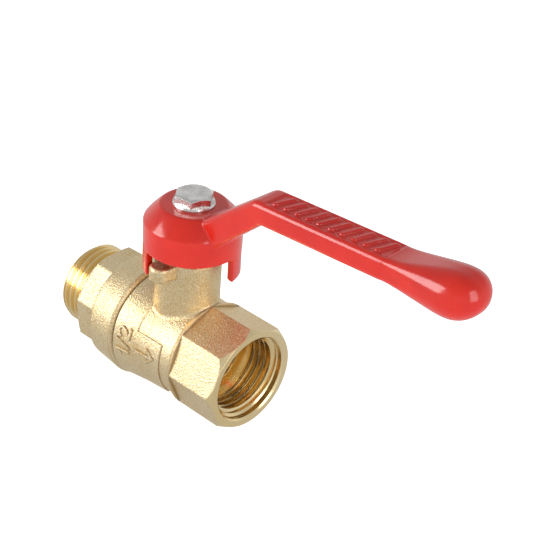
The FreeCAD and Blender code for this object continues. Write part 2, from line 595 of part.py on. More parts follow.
def make_male_end():
    """Screwed-in tail: male thread, octagon for the wrench, flange and threaded nose."""
    body = new_body("male_end_connector")
    outside = new_sketch(body, "tail_outside", "XZ_Plane")
    outline(outside, [
        ("male_end", "0"),
        ("-joint_nose", "0"),
        ("-joint_nose", "joint_r"),
        ("joint_x + joint_ring_back + joint_groove_width / 2", "joint_r"),
        ("joint_x + joint_ring_back + joint_groove_width / 2", "ring_floor_r"),
        ("joint_x + joint_ring_back - joint_groove_width / 2", "ring_floor_r"),
        ("joint_x + joint_ring_back - joint_groove_width / 2", "joint_r"),
        ("joint_x", "joint_r"),
        ("joint_x", "barrel_large_dia / 2 - joint_chamfer"),
        ("joint_x - flange_lip", "flange_large_dia / 2"),
        ("tail_octagon_end + flange_fillet", "flange_small_dia / 2"),
        ("tail_octagon_end", "tail_corner_dia / 2"),
        ("male_thread_back + male_relief_width + tail_shoulder_depth", "tail_corner_dia / 2"),
        ("male_thread_back + male_relief_width", "tail_shoulder_dia / 2"),
        ("male_thread_back + male_relief_width", "male_relief_dia / 2"),
        ("male_thread_back", "male_relief_dia / 2"),
        ("male_thread_back", "major_r"),
        ("male_end + male_chamfer", "major_r"),
        ("male_end", "major_r - male_chamfer"),
    ])
    revolve(outside, "H_Axis")

    flats = new_sketch(body, "tail_flats", "YZ_Plane", at_height("tail_octagon_end"))
    circle(flats, "tail_corner_dia")
    polygon(flats, 8, "tail_corner_dia / 2", "tail_turn")
    push(flats, "tail_octagon_end - male_thread_back - male_relief_width + join_overlap", cut=True)

    inside = new_sketch(body, "tail_inside", "XZ_Plane")
    outline(inside, [
        ("male_end", "0"),
        ("male_end", "seat_bore_r"),
        ("-seat_back", "seat_bore_r"),
        ("-seat_back", "pocket_r"),
        ("-joint_nose", "pocket_r"),
        ("-joint_nose", "0"),
    ])
    revolve(inside, "H_Axis", cut=True)

    helical_groove(
        body, "male_thread", "male_end - thread_lead", "minor_r", "major_r + thread_past",
        "(thread_pitch - thread_crest) / 2 + thread_past / 2", "thread_crest / 2",
        "male_thread_back + male_relief_width / 2 - male_end + thread_lead")
    return body


def make_turned(label, plane, axis, corners):
    """Ring or washer turned from one outline."""
    body = new_body(label)
    section = new_sketch(body, label + "_section", plane)
    outline(section, corners)
    revolve(section, axis)
    return body


def make_seats():
    """One seat ring each side of the ball; its face is hollow to fit the ball."""
    hollow = "(ball_r + seat_fit)"
    for label, side in (("seat_ring_female_side", ""), ("seat_ring_male_side", "-")):
        bulge = "" if side else "-"
        make_turned(label, "XZ_Plane", "H_Axis", [
            (side + "seat_back", "seat_bore_r"),
            (side + "seat_back", "seat_od / 2"),
            (side + "seat_front", "seat_od / 2"),
            (side + "seat_front", "sqrt(%s^2 - seat_front^2)" % hollow, bulge + hollow),
            (side + "sqrt(%s^2 - seat_bore_r^2)" % hollow, "seat_bore_r"),
        ])


def make_ball():
    """Ball with its bore along the pipe and a slot for the stem tang across the top."""
    body = new_body("ball")
    half = new_sketch(body, "ball_half", "XZ_Plane")
    outline(half, [
        ("-sqrt(ball_r^2 - (port_dia / 2)^2)", "port_dia / 2"),
        ("sqrt(ball_r^2 - (port_dia / 2)^2)", "port_dia / 2", "ball_r"),
    ])
    revolve(half, "H_Axis")

    slot = new_sketch(body, "ball_slot", "XZ_Plane")
    outline(slot, [
        ("-tang_width / 2 - slot_fit", "slot_bottom"),
        ("tang_width / 2 + slot_fit", "slot_bottom"),
        ("tang_width / 2 + slot_fit", "ball_r + cut_past"),
        ("-tang_width / 2 - slot_fit", "ball_r + cut_past"),
    ])
    push(slot, "ball_dia", cut=True, both=True)
    return body


def make_stem():
    """Stem: tang, collar, two O-ring grooves, square and tapped hole."""
    body = new_body("stem")
    shaft = new_sketch(body, "stem_shaft", "XZ_Plane")
    corners = [
        ("0", "collar_bottom"),
        ("collar_dia / 2", "collar_bottom"),
        ("collar_dia / 2", "collar_top"),
        ("stem_dia / 2", "collar_top"),
    ]
    for groove in ("groove_low", "groove_low + groove_step"):
        corners += [
            ("stem_dia / 2", groove + " - groove_width / 2"),
            ("groove_floor_dia / 2", groove + " - groove_width / 2"),
            ("groove_floor_dia / 2", groove + " + groove_width / 2"),
            ("stem_dia / 2", groove + " + groove_width / 2"),
        ]
    corners += [("stem_dia / 2", "hub_bottom"), ("0", "hub_bottom")]
    outline(shaft, corners)
    revolve(shaft, "V_Axis")

    tang = new_sketch(body, "stem_tang", "XY_Plane", at_height("tang_bottom"))
    rectangle(tang, "tang_width / 2", "tang_length / 2")
    push(tang, "collar_bottom - tang_bottom + join_overlap")

    square = new_sketch(body, "stem_square", "XY_Plane", at_height("hub_bottom - join_overlap"))
    rectangle(square, "square_flats / 2", "square_flats / 2")
    push(square, "square_height + join_overlap")

    tapped = new_sketch(body, "stem_tapped_hole", "XY_Plane", at_height("stem_top"))
    circle(tapped, "screw_dia / 2 + side_fit")
    push(tapped, "screw_pilot", cut=True)
    return body


def make_o_ring(label, thickness, inner_r, place, axis):
    """O-ring as a torus about X or Z, its middle at a distance along that axis."""
    ring = doc.addObject("Part::Torus", label)
    ring.Label = label
    ring.setExpression("Radius2", bind("%s / 2" % thickness))
    ring.setExpression("Radius1", bind("%s + %s / 2" % (inner_r, thickness)))
    turn = FreeCAD.Rotation(FreeCAD.Vector(0, 1, 0), 90) if axis == "x" else FreeCAD.Rotation()
    ring.Placement = FreeCAD.Placement(FreeCAD.Vector(0, 0, 0), turn)
    ring.setExpression("Placement.Base." + axis, bind(place))
    return ring


def make_gland_nut():
    """Gland nut: screwed plug below a hexagon head, bored for the stem."""
    body = new_body("gland_nut")
    outside = new_sketch(body, "nut_outside", "XZ_Plane")
    outline(outside, [
        ("0", "packing_top"),
        ("plug_r", "packing_top"),
        ("plug_r", "nut_under_head"),
        ("nut_flats / sqrt(3)", "nut_under_head"),
        ("nut_flats / sqrt(3)", "nut_top - nut_chamfer / 2"),
        ("nut_flats / sqrt(3) - nut_chamfer", "nut_top"),
        ("0", "nut_top"),
    ])
    revolve(outside, "V_Axis")

    flats = new_sketch(body, "nut_flats_cut", "XY_Plane", at_height("nut_top"))
    circle(flats, "nut_flats")
    polygon(flats, 6, "nut_flats / sqrt(3)")
    push(flats, "nut_head", cut=True)

    bore = new_sketch(body, "nut_bore", "XY_Plane", at_height("nut_top"))
    circle(bore, "stem_bore_r")
    push(bore, "nut_top - packing_top", cut=True)
    return body


def rectangle(sketch, half_x, half_y):
    """Rectangle about the sketch's origin."""
    outline(sketch, [
        ("-" + half_x, "-" + half_y),
        (half_x, "-" + half_y),
        (half_x, half_y),
        ("-" + half_x, half_y),
    ])


def make_handle_screw():
    """Flanged hexagon screw that holds the lever on the stem."""
    body = new_body("handle_screw")
    solid = new_sketch(body, "screw_solid", "XZ_Plane")
    outline(solid, [
        ("0", "stem_top - screw_grip"),
        ("screw_dia / 2", "stem_top - screw_grip"),
        ("screw_dia / 2", "bell_top"),
        ("washer_face_dia / 2", "bell_top"),
        ("washer_face_dia / 2", "bell_top + washer_face_height / 2"),
        ("head_flats / sqrt(3)", "bell_top + washer_face_height"),
        ("head_flats / sqrt(3)", "bell_top + head_height - head_chamfer_drop"),
        ("head_flats / sqrt(3) - head_chamfer", "bell_top + head_height"),
        ("0", "bell_top + head_height"),
    ])
    revolve(solid, "V_Axis")

    flats = new_sketch(body, "screw_flats", "XY_Plane", at_height("bell_top + head_height"))
    circle(flats, "head_flats")
    polygon(flats, 6, "head_flats / sqrt(3)", "head_turn")
    push(flats, "head_height - washer_face_height", cut=True)
    return body


def run_plane(along):
    """Plane across the arm's long run, at a distance along it from the end of the arm."""
    middle = "(arm_thickness / 2)"
    return {
        "Base.y": "run_end_z - %s * cos(arm_slope) + (%s) * sin(arm_slope)" % (middle, along),
        "Base.z": "arm_end_x + %s * sin(arm_slope) + (%s) * cos(arm_slope)" % (middle, along),
    }


def run_section(body, name, along, half_x, half_y, corner):
    """Rounded section across the arm's long run."""
    sketch = new_sketch(body, name, "YZ_Plane")
    turn = FreeCAD.Rotation(FreeCAD.Vector(1, 0, 0), -number("arm_slope"))
    sketch.AttachmentOffset = FreeCAD.Placement(FreeCAD.Vector(0, 0, 0), turn)
    for path, formula in run_plane(along).items():
        sketch.setExpression("AttachmentOffset." + path, bind(formula))
    sketch.setExpression("AttachmentOffset.Rotation.Angle", bind("arm_slope"))
    outline(sketch, [
        ("%s - %s" % (half_x, corner), "-" + half_y, corner),
        (half_x, "-%s + %s" % (half_y, corner)),
        (half_x, "%s - %s" % (half_y, corner), corner),
        ("%s - %s" % (half_x, corner), half_y),
        ("-%s + %s" % (half_x, corner), half_y, corner),
        ("-" + half_x, "%s - %s" % (half_y, corner)),
        ("-" + half_x, "-%s + %s" % (half_y, corner), corner),
        ("-%s + %s" % (half_x, corner), "-" + half_y),
    ])
    return sketch


def arm_face_sketch(body, name, depth):
    """Sketch on the upper face of the arm's long run, or a depth below it; x runs along the arm."""
    sketch = new_sketch(body, name, "XY_Plane")
    sketch.AttachmentOffset = FreeCAD.Placement(
        FreeCAD.Vector(0, 0, 0), FreeCAD.Rotation(FreeCAD.Vector(0, -1, 0), number("arm_slope")))
    sketch.setExpression("AttachmentOffset.Base.x", bind("knee_x + %s * sin(arm_slope)" % depth))
    sketch.setExpression("AttachmentOffset.Base.z", bind("knee_z - %s * cos(arm_slope)" % depth))
    sketch.setExpression("AttachmentOffset.Rotation.Angle", bind("arm_slope"))
    return sketch


def make_lever():
    """Lever: cranked arm with a rounded grip, and a bell over the neck with two stop lugs."""
    body = new_body("lever_handle")
    arm = new_sketch(body, "lever_arm", "XZ_Plane")
    outline(arm, [
        ("arm_root_x", "bell_top"),
        ("knee_x", "knee_z"),
        ("arm_end_x", "run_end_z"),
        ("arm_end_x + arm_thickness * sin(arm_slope)", "run_end_z - arm_thickness * cos(arm_slope)"),
        ("knee_under_x", "knee_under_z"),
        ("arm_root_under_x", "arm_root_under_z"),
        ("bell_inner_r", "bell_top - bell_roof"),
        ("hub_dia / 2 - cut_past", "bell_top - cut_past"),
    ])
    push(arm, "arm_width", both=True)
    for name, size, place in (
            ("lever_knee", "knee_round", ("knee_x", "knee_z")),
            ("lever_knee_under", "knee_under_round", ("knee_under_x", "knee_under_z"))):
        spot = FreeCAD.Vector(number(place[0]), 0, number(place[1]))
        soften(body, "Fillet", name, size, lambda edge: edge.CenterOfMass.distanceToPoint(spot) < NEAR)
    half_width = number("arm_width / 2")
    root = number("arm_root_under_x")
    end = number("arm_end_x")
    soften(body, "Fillet", "lever_long_edges", "arm_round", lambda edge: (
        edge.BoundBox.YLength < NEAR
        and abs(abs(edge.CenterOfMass.y) - half_width) < NEAR
        and root < edge.CenterOfMass.x < end - NEAR))

    sections = [
        run_section(body, "grip_start", "0", "(arm_width / 2)", "(arm_thickness / 2)", "arm_round")]
    for index, (share, fullness) in enumerate(GRIP_SWELL):
        sections.append(run_section(
            body, "grip_flare_%d" % index, "%g * grip_swell" % share,
            "(arm_width / 2 + %g * (grip_width - arm_width) / 2)" % fullness,
            "(arm_thickness / 2 + %g * (grip_height - arm_thickness) / 2)" % fullness,
            "(arm_round + %g * (grip_height * %s - arm_round))" % (fullness, GRIP_CORNER)))
    for index, angle in enumerate(GRIP_DOME):
        shrink = "cos(%d)" % angle
        sections.append(run_section(
            body, "grip_dome_%d" % index, "grip_swell + grip_dome * sin(%d)" % angle,
            "(grip_width / 2 * %s)" % shrink,
            "(grip_height / 2 * %s)" % shrink,
            "(grip_height * %s * %s)" % (GRIP_CORNER, shrink)))
    grip = body.newObject("PartDesign::AdditiveLoft", "lever_grip")
    grip.Profile = sections[0]
    grip.Sections = sections[1:]

    panel = arm_face_sketch(body, "lever_panel", "0")
    outline(panel, [
        ("panel_start", "-panel_width / 2"),
        ("panel_start + panel_length", "-panel_width / 2"),
        ("panel_start + panel_length", "panel_width / 2"),
        ("panel_start", "panel_width / 2"),
    ])
    push(panel, "panel_depth", cut=True)

    bar = arm_face_sketch(body, "lever_bar", "panel_depth")
    first = "panel_start + bar_margin"
    outline(bar, [
        (first, "-bar_reach"),
        (first + " + bar_width", "-bar_reach"),
        (first + " + bar_width + bar_slant", "bar_reach"),
        (first + " + bar_slant", "bar_reach"),
    ])
    raised = push(bar, "panel_depth + bar_rise")
    row = body.newObject("PartDesign::LinearPattern", "lever_bars")
    row.Originals = [raised]
    row.Direction = (bar, ["H_Axis"])
    row.setExpression("Length", bind("panel_length - 2 * bar_margin - bar_width - bar_slant"))
    row.setExpression("Occurrences", bind("bar_count"))
    body.Tip = row

    bell = new_sketch(body, "lever_bell", "XZ_Plane")
    outline(bell, [
        ("0", "hub_bottom"),
        ("hub_dia / 2", "hub_bottom"),
        ("hub_dia / 2", "bell_top - bell_roof"),
        ("bell_inner_r - bell_inner_edge", "bell_top - bell_roof"),
        ("bell_inner_r", "bell_shoulder - bell_inner_drop"),
        ("bell_inner_r", "bell_bottom"),
        ("bell_r", "bell_bottom"),
        ("bell_r", "bell_shoulder", "bell_crown_arc"),
        ("bell_top_dia / 2", "bell_top"),
        ("0", "bell_top"),
    ])
    revolve(bell, "V_Axis")
    far_r = "bell_dia"
    lugs = new_sketch(body, "lever_lugs", "XY_Plane", at_height("lug_bottom"))
    circle(lugs, "bell_r")
    circle(lugs, "bell_inner_r")
    push(lugs, "bell_bottom - lug_bottom + join_overlap")
    near_gap = new_sketch(body, "lever_stop_gap", "XY_Plane", at_height("bell_bottom"))
    turn_sketch(near_gap, "stop_turn")
    outline(near_gap, [
        ("-lug_offset", "lug_offset"),
        ("-lug_offset", "-" + far_r),
        (far_r, "-" + far_r),
        (far_r, "lug_offset"),
    ])
    push(near_gap, "bell_bottom - lug_bottom + cut_past", cut=True)
    far_gap = new_sketch(body, "lever_free_gap", "XY_Plane", at_height("bell_bottom"))
    turn_sketch(far_gap, "stop_turn")
    outline(far_gap, [
        ("0", "0"),
        polar_corner(far_r, "lug_sweep"),
        (far_r + " * cos(lug_sweep)", far_r),
        ("-" + far_r, far_r),
        ("-" + far_r, "-%s * cos(lug_sweep)" % far_r),
        ("-%s * sin(lug_sweep)" % far_r, "-%s * cos(lug_sweep)" % far_r),
    ])
    push(far_gap, "bell_bottom - lug_bottom + cut_past", cut=True)

    socket = new_sketch(body, "lever_square", "XY_Plane", at_height("stem_top + square_room"))
    rectangle(socket, "(square_flats / 2 + square_fit)", "(square_flats / 2 + square_fit)")
    push(socket, "stem_top - hub_bottom + square_room + join_overlap", cut=True)
    clear = new_sketch(body, "lever_screw_hole", "XY_Plane", at_height("bell_top"))
    circle(clear, "screw_clear_dia / 2")
    push(clear, "bell_top - stem_top", cut=True)
    return body


make_valve_body()
make_seats()
make_ball()
make_stem()
make_turned("stem_thrust_washer", "XZ_Plane", "V_Axis", [
    ("stem_bore_r", "collar_top"),
    ("collar_dia / 2", "collar_top"),
    ("collar_dia / 2", "washer_top"),
    ("stem_bore_r", "washer_top"),
])
for label, middle in (("stem_o_ring_lower", "groove_low"), ("stem_o_ring_upper", "groove_low + groove_step")):
    make_o_ring(
        label, "(stem_bore_r - groove_floor_dia / 2 - 2 * ring_fit)",
        "groove_floor_dia / 2 + ring_fit", middle, "z")
make_o_ring("joint_o_ring", "joint_ring_dia", "ring_floor_r + ring_fit", "joint_x + joint_ring_back", "x")
for index, label in enumerate(("gland_packing_lower", "gland_packing_upper")):
    make_turned(label, "XZ_Plane", "V_Axis", [
        ("stem_bore_r", "gland_bottom + %d * packing_height" % index),
        ("plug_r", "gland_bottom + %d * packing_height" % index),
        ("plug_r", "gland_bottom + %d * packing_height" % (index + 1)),
        ("stem_bore_r", "gland_bottom + %d * packing_height" % (index + 1)),
    ])
make_gland_nut()
make_handle_screw()
make_lever()
make_male_end()
doc.recompute()
for item in doc.Objects:
    if "Invalid" in item.State or "Error" in item.State:
        raise RuntimeError("%s did not build: %s" % (item.Label, item.State))
PIECES = [item for item in doc.Objects if item.TypeId in ("PartDesign::Body", "Part::Torus")]
for piece in PIECES:
    if piece.Shape.isNull() or not piece.Shape.isValid() or len(piece.Shape.Solids) != 1:
        raise RuntimeError("%s is not one valid solid" % piece.Label)
os.makedirs("parts", exist_ok=True)
for piece in PIECES:
    piece.Shape.exportStep("parts/%s.step" % piece.Label)
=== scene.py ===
import math

import bmesh
import bpy
from mathutils import Matrix, Vector


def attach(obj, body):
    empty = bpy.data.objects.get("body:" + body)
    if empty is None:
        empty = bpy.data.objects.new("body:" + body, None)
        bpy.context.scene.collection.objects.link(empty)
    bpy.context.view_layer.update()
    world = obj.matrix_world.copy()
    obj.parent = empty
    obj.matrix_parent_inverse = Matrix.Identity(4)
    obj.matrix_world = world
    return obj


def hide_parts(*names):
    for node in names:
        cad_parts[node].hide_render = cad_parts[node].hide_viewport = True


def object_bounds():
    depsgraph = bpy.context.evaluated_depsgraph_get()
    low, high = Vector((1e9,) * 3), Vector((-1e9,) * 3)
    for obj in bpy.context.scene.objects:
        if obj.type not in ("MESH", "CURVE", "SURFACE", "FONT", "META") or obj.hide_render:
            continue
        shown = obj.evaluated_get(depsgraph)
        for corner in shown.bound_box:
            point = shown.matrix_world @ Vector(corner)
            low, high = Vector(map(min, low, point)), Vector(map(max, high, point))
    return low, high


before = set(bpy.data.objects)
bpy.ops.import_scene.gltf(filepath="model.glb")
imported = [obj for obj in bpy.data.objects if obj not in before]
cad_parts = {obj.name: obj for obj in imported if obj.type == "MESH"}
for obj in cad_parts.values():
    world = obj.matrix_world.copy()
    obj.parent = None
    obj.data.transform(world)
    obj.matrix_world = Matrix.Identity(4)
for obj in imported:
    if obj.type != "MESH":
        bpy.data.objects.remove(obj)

CAD_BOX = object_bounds()
MM = 0.001

# Camera: turn round the valve, height above it and roll, in degrees, then its place and lens in mm.
CAMERA_TURN = 41.7
CAMERA_RISE = 31.86
CAMERA_ROLL = 4.01
CAMERA_DISTANCE = 338.24
CAMERA_RIGHT = 20.664
CAMERA_UP = 15.895
CAMERA_LENS = 91.64
SENSOR_WIDTH = 36

# Floor: half its side and its gap below the valve, in metres, and how much it glows.
FLOOR_HALF = 3.0
FLOOR_GAP = 0.0002
FLOOR_GLOW = 0.75

# Brightness of the studio from straight below (0) over the horizon (0.5) to straight above (1).
SKY = ((0.01, 0.60), (0.35, 0.66), (0.48, 0.80), (0.60, 0.84), (0.75, 0.60), (0.99, 0.46))
SKY_STRENGTH = 0.9

# Where a tool has cut the brass, in mm from the ball's centre.
SOCKET_CUT_RADIUS = 11.2
END_FACE_X = 20.95
NECK_TOP_Z = 24.85
# The turned chamfer at the female end: a point lies on it when radius + share * x is over the limit.
CHAMFER_FROM_X = 18
CHAMFER_X_SHARE = 1.0 / 1.3
CHAMFER_LIMIT = 28.53
TAIL_THREAD_X = -27.85
TAIL_BORE_RADIUS = 10.2
# Where the barrel ends: towards the octagon and towards the neck.
BARREL_END_X = 4.4
BARREL_TOP_Z = 13.2
# Half the width of the soft step between two finishes, in mm.
FINISH_BLUR = 0.03

# Radius of the rounding drawn on brass edges, in mm: as cast, on the tail, and where they are crisp.
CAST_EDGE = 0.60
TAIL_EDGE = 1.2
CRISP_EDGE = 0.12

# Colours of the brass.
CAST_DEEP = (0.80, 0.57, 0.26)
CAST_PALE = (0.88, 0.68, 0.37)
CAST_SPARK = (1.0, 0.93, 0.72)
CAST_PIT = (0.34, 0.20, 0.08)
# Painted shade: this dark brown is laid into narrow corners and crevices, where shade falls.
CAST_CREVICE_SHADE = (0.30, 0.17, 0.06)
TURNED_DEEP = (0.90, 0.68, 0.33)
TURNED_PALE = (0.97, 0.80, 0.48)

# Mesh size of the painted lever in mm, and how often it is smoothed.
LEVER_VOXEL = 0.24
LEVER_EASE_PASSES = 6

# Outside of the body along the pipe axis: place and radius in mm, on the band and on the pad.
BAND_OUTSIDE = ((-11.6, 14.30), (-5.25, 13.54))
PAD_OUTSIDE = ((-5.9, 13.54), (2.55, 13.00))
# Strokes of the raised marks: how far along the writing and how high, as shares of the mark's height.
HALF_INCH = (
    ((0.05, 0.72), (0.38, 1.0), (0.38, 0.0)),
    ((0.72, -0.05), (1.18, 1.05)),
    ((1.50, 0.74), (1.60, 0.92), (1.82, 1.0), (2.06, 0.92), (2.14, 0.70), (2.02, 0.46),
     (1.50, 0.0), (2.18, 0.0)),
)
ARROW = (
    ((0.0, 0.5), (1.5, 0.5)),
    ((0.95, 1.0), (1.55, 0.5), (0.95, 0.0)),
)
# Height and stroke width of the marks, their rise above the body and how deep they sink in, in mm.
MARK_HEIGHT = 3.4
MARK_WIDTH = 0.7
MARK_RISE = 0.45
MARK_SINK = 0.15
# Cross-section of a stroke: place across it as a share of its width, and height above the body in mm.
SHOULDER_RISE = MARK_RISE * 0.35
TOP_HALF = 0.28
STROKE_PROFILE = (
    (-0.5, -MARK_SINK), (-0.5, SHOULDER_RISE), (-TOP_HALF, MARK_RISE),
    (TOP_HALF, MARK_RISE), (0.5, SHOULDER_RISE), (0.5, -MARK_SINK),
)
# The top of a stroke reaches past its end points by this share of what the foot does.
TOP_REACH = 0.4
# Longest step along a stroke, as a share of the mark's height, and the limit for sharp bends.
STROKE_STEP = 0.15
BEND_LIMIT = 0.6


def direction(turn, rise):
    """Unit vector towards a place round the valve; turn 0 is the -Y side and 90 is the +X side."""
    a, e = math.radians(turn), math.radians(rise)
    return Vector((math.sin(a) * math.cos(e), -math.cos(a) * math.cos(e), math.sin(e)))


def place_in_scene(name, data):
    thing = bpy.data.objects.new(name, data)
    bpy.context.scene.collection.objects.link(thing)
    return thing


def make_camera():
    """The camera of the photo, as fitted to it."""
    back = direction(CAMERA_TURN, CAMERA_RISE)
    right = Vector((math.cos(math.radians(CAMERA_TURN)), math.sin(math.radians(CAMERA_TURN)), 0))
    up = back.cross(right)
    roll = math.radians(CAMERA_ROLL)
    rolled_right = right * math.cos(roll) + up * math.sin(roll)
    rolled_up = up * math.cos(roll) - right * math.sin(roll)
    lens = bpy.data.cameras.new("camera")
    lens.lens = CAMERA_LENS
    lens.sensor_width = SENSOR_WIDTH
    lens.clip_start = 0.01
    camera = place_in_scene("camera", lens)
    place = (rolled_right * CAMERA_RIGHT + rolled_up * CAMERA_UP + back * CAMERA_DISTANCE) * MM
    turned = Matrix((rolled_right, rolled_up, back)).transposed().to_4x4()
    camera.matrix_world = Matrix.Translation(place) @ turned
    bpy.context.scene.camera = camera


def add_light(name, turn, rise, distance, width, height, power):
    """Soft box that looks at the middle of the valve; lengths in metres, power in watts."""
    data = bpy.data.lights.new(name, "AREA")
    data.shape = "RECTANGLE"
    data.size = width
    data.size_y = height
    data.energy = power
    light = place_in_scene(name, data)
    away = direction(turn, rise)
    middle = (CAD_BOX[0] + CAD_BOX[1]) / 2
    light.location = middle + away * distance
    light.rotation_euler = away.to_track_quat("Z", "Y").to_euler()


class Shader:
    """One node material, with short names for the nodes that it needs."""

    def __init__(self, name, metallic=0.0):
        self.material = bpy.data.materials.new(name)
        self.material.use_nodes = True
        self.tree = self.material.node_tree
        self.surface = self.tree.nodes["Principled BSDF"]
        self.place = self.add("ShaderNodeTexCoord").outputs["Object"]
        self.set(Metallic=metallic)

    def add(self, kind, inputs=None, **settings):
        node = self.tree.nodes.new(kind)
        for key, value in settings.items():
            setattr(node, key, value)
        for key, value in (inputs or {}).items():
            self.feed(node.inputs[key], value)
        return node

    def feed(self, socket, value):
        if isinstance(value, bpy.types.NodeSocket):
            self.tree.links.new(value, socket)
        else:
            socket.default_value = value

    def set(self, **values):
        """Inputs of the surface, with _ for a space in their names."""
        for key, value in values.items():
            self.feed(self.surface.inputs[key.replace("_", " ")], value)

    def noise(self, scale, detail=2.0, stretch=None):
        """Cloudy pattern; the scale is in features to the metre."""
        place = self.place
        if stretch:
            place = self.add("ShaderNodeMapping", {"Vector": place, "Scale": stretch}).outputs[0]
        inputs = {"Vector": place, "Scale": scale, "Detail": detail}
        return self.add("ShaderNodeTexNoise", inputs).outputs["Fac"]

    def cells(self, scale):
        """Distance from the nearest of many scattered points."""
        inputs = {"Vector": self.place, "Scale": scale}
        return self.add("ShaderNodeTexVoronoi", inputs).outputs["Distance"]

    def spread(self, value, low, high, to_low=0.0, to_high=1.0):
        inputs = {0: value, 1: low, 2: high, 3: to_low, 4: to_high}
        return self.add("ShaderNodeMapRange", inputs).outputs[0]

    def math(self, operation, a, b=0.0):
        return self.add("ShaderNodeMath", {0: a, 1: b}, operation=operation).outputs[0]

    def mix(self, factor, a, b):
        """Colour a where the factor is 0, colour b where it is 1."""
        node = self.add("ShaderNodeMix", data_type="RGBA")
        for index, value in ((0, factor), (6, a), (7, b)):
            if index and not isinstance(value, bpy.types.NodeSocket):
                value = (*value, 1)
            self.feed(node.inputs[index], value)
        return node.outputs[2]

    def blend(self, factor, a, b):
        """Number a where the factor is 0, number b where it is 1."""
        return self.add("ShaderNodeMix", {0: factor, 2: a, 3: b}).outputs[0]

    def blend_normals(self, factor, a, b):
        """Normal a where the factor is 0, normal b where it is 1."""
        return self.add("ShaderNodeMix", {0: factor, 4: a, 5: b}, data_type="VECTOR").outputs[1]

    def bump(self, height, strength, distance, normal=None):
        inputs = {"Height": height, "Strength": strength, "Distance": distance * MM}
        if normal:
            inputs["Normal"] = normal
        return self.add("ShaderNodeBump", inputs).outputs[0]

    def round_edges(self, radius):
        return self.add("ShaderNodeBevel", {"Radius": radius * MM}, samples=6).outputs[0]

    def crevice(self, reach):
        """1 deep in corners that are narrower than the reach in mm, 0 on open surfaces."""
        inputs = {"Distance": reach * MM}
        open_share = self.add("ShaderNodeAmbientOcclusion", inputs, samples=8).outputs["AO"]
        return self.spread(open_share, 0.50, 0.90, 1.0, 0.0)

    def axes(self):
        return self.add("ShaderNodeSeparateXYZ", {"Vector": self.place}).outputs[:3]

    def pipe_radius(self):
        """Distance from the pipe axis, in metres."""
        _, y, z = self.axes()
        squares = self.math("ADD", self.math("MULTIPLY", y, y), self.math("MULTIPLY", z, z))
        return self.math("SQRT", squares)

    def both(self, a, b):
        return self.math("MINIMUM", a, b)

    def either(self, a, b):
        return self.math("MAXIMUM", a, b)

    def over(self, value, limit):
        """1 where the value is over the limit in mm, with a narrow soft edge."""
        return self.spread(value, (limit - FINISH_BLUR) * MM, (limit + FINISH_BLUR) * MM)

    def under(self, value, limit):
        """1 where the value is under the limit in mm, with a narrow soft edge."""
        return self.spread(value, (limit - FINISH_BLUR) * MM, (limit + FINISH_BLUR) * MM, 1.0, 0.0)


def body_cut(s):
    """Socket, bores, end face with its turned chamfer, and the top of the neck."""
    x, _, z = s.axes()
    radius = s.pipe_radius()
    cone = s.math("ADD", radius, s.math("MULTIPLY", x, CHAMFER_X_SHARE))
    chamfer = s.both(s.over(cone, CHAMFER_LIMIT), s.over(x, CHAMFER_FROM_X))
    bores_and_face = s.either(s.under(radius, SOCKET_CUT_RADIUS), s.over(x, END_FACE_X))
    return s.either(bores_and_face, s.either(s.over(z, NECK_TOP_Z), chamfer))


def barrel_only(s):
    """The barrel with its band and pad, but not the octagon."""
    x, _, z = s.axes()
    return s.both(s.under(x, BARREL_END_X), s.under(z, BARREL_TOP_Z))


def tail_cut(s):
    """Male thread with its run-out, and the bore."""
    x, _, _ = s.axes()
    return s.either(s.under(x, TAIL_THREAD_X), s.under(s.pipe_radius(), TAIL_BORE_RADIUS))


def everywhere(s):
    return s.over(s.pipe_radius(), 0)


def nowhere(s):
    return s.under(s.pipe_radius(), 0)


def brass(name, where, crisp, rounding=CAST_EDGE):
    """Shot-blasted cast brass, with painted shade in its narrow corners.

    where(shader) is 1 where a tool has cut it, crisp(shader) is 1 where its edges are sharp.
    """
    s = Shader(name, metallic=1.0)
    cut = where(s)
    tone = s.noise(70, 4)
    grain = s.noise(3600, 3)
    pits = s.cells(2300)
    cast = s.mix(s.spread(tone, 0.35, 0.65), CAST_DEEP, CAST_PALE)
    cast = s.mix(s.spread(grain, 0.45, 0.68), cast, CAST_SPARK)
    cast = s.mix(s.spread(pits, 0.02, 0.24, 0.65, 0.0), cast, CAST_PIT)
    # Painted shade: the brass is darkened in corners narrower than 0.9 mm, such as round the marks,
    # pads and joints.
    crevice_shaded = s.mix(s.math("MULTIPLY", s.crevice(0.9), 0.75), cast, CAST_CREVICE_SHADE)
    rings = s.noise(900, 2, (1.0, 0.02, 0.02))
    turned = s.mix(s.spread(rings, 0.35, 0.7), TURNED_DEEP, TURNED_PALE)
    s.set(Base_Color=s.mix(cut, crevice_shaded, turned))
    cast_rough = s.spread(grain, 0.3, 0.7, 0.30, 0.50)
    turned_rough = s.spread(rings, 0.3, 0.7, 0.14, 0.26)
    s.set(Roughness=s.blend(cut, cast_rough, turned_rough))
    sharp = s.either(cut, crisp(s))
    rounded = s.blend_normals(sharp, s.round_edges(rounding), s.round_edges(CRISP_EDGE))
    blasted = s.math("ADD", s.math("MULTIPLY", grain, 0.8), s.math("MULTIPLY", pits, 0.6))
    height = s.blend(cut, blasted, s.math("MULTIPLY", rings, 0.06))
    s.set(Normal=s.bump(height, 0.75, 0.14, s.bump(s.noise(700, 2), 0.12, 0.12, rounded)))
    return s.material


def turned_brass():
    s = Shader("turned_brass", metallic=1.0)
    rings = s.noise(1400, 2, (0.05, 0.05, 1.0))
    s.set(Base_Color=s.mix(s.spread(rings, 0.3, 0.7), (0.80, 0.54, 0.20), (0.93, 0.71, 0.33)))
    s.set(Roughness=s.spread(rings, 0.3, 0.7, 0.16, 0.30))
    s.set(Normal=s.bump(rings, 0.12, 0.04, s.round_edges(0.15)))
    return s.material


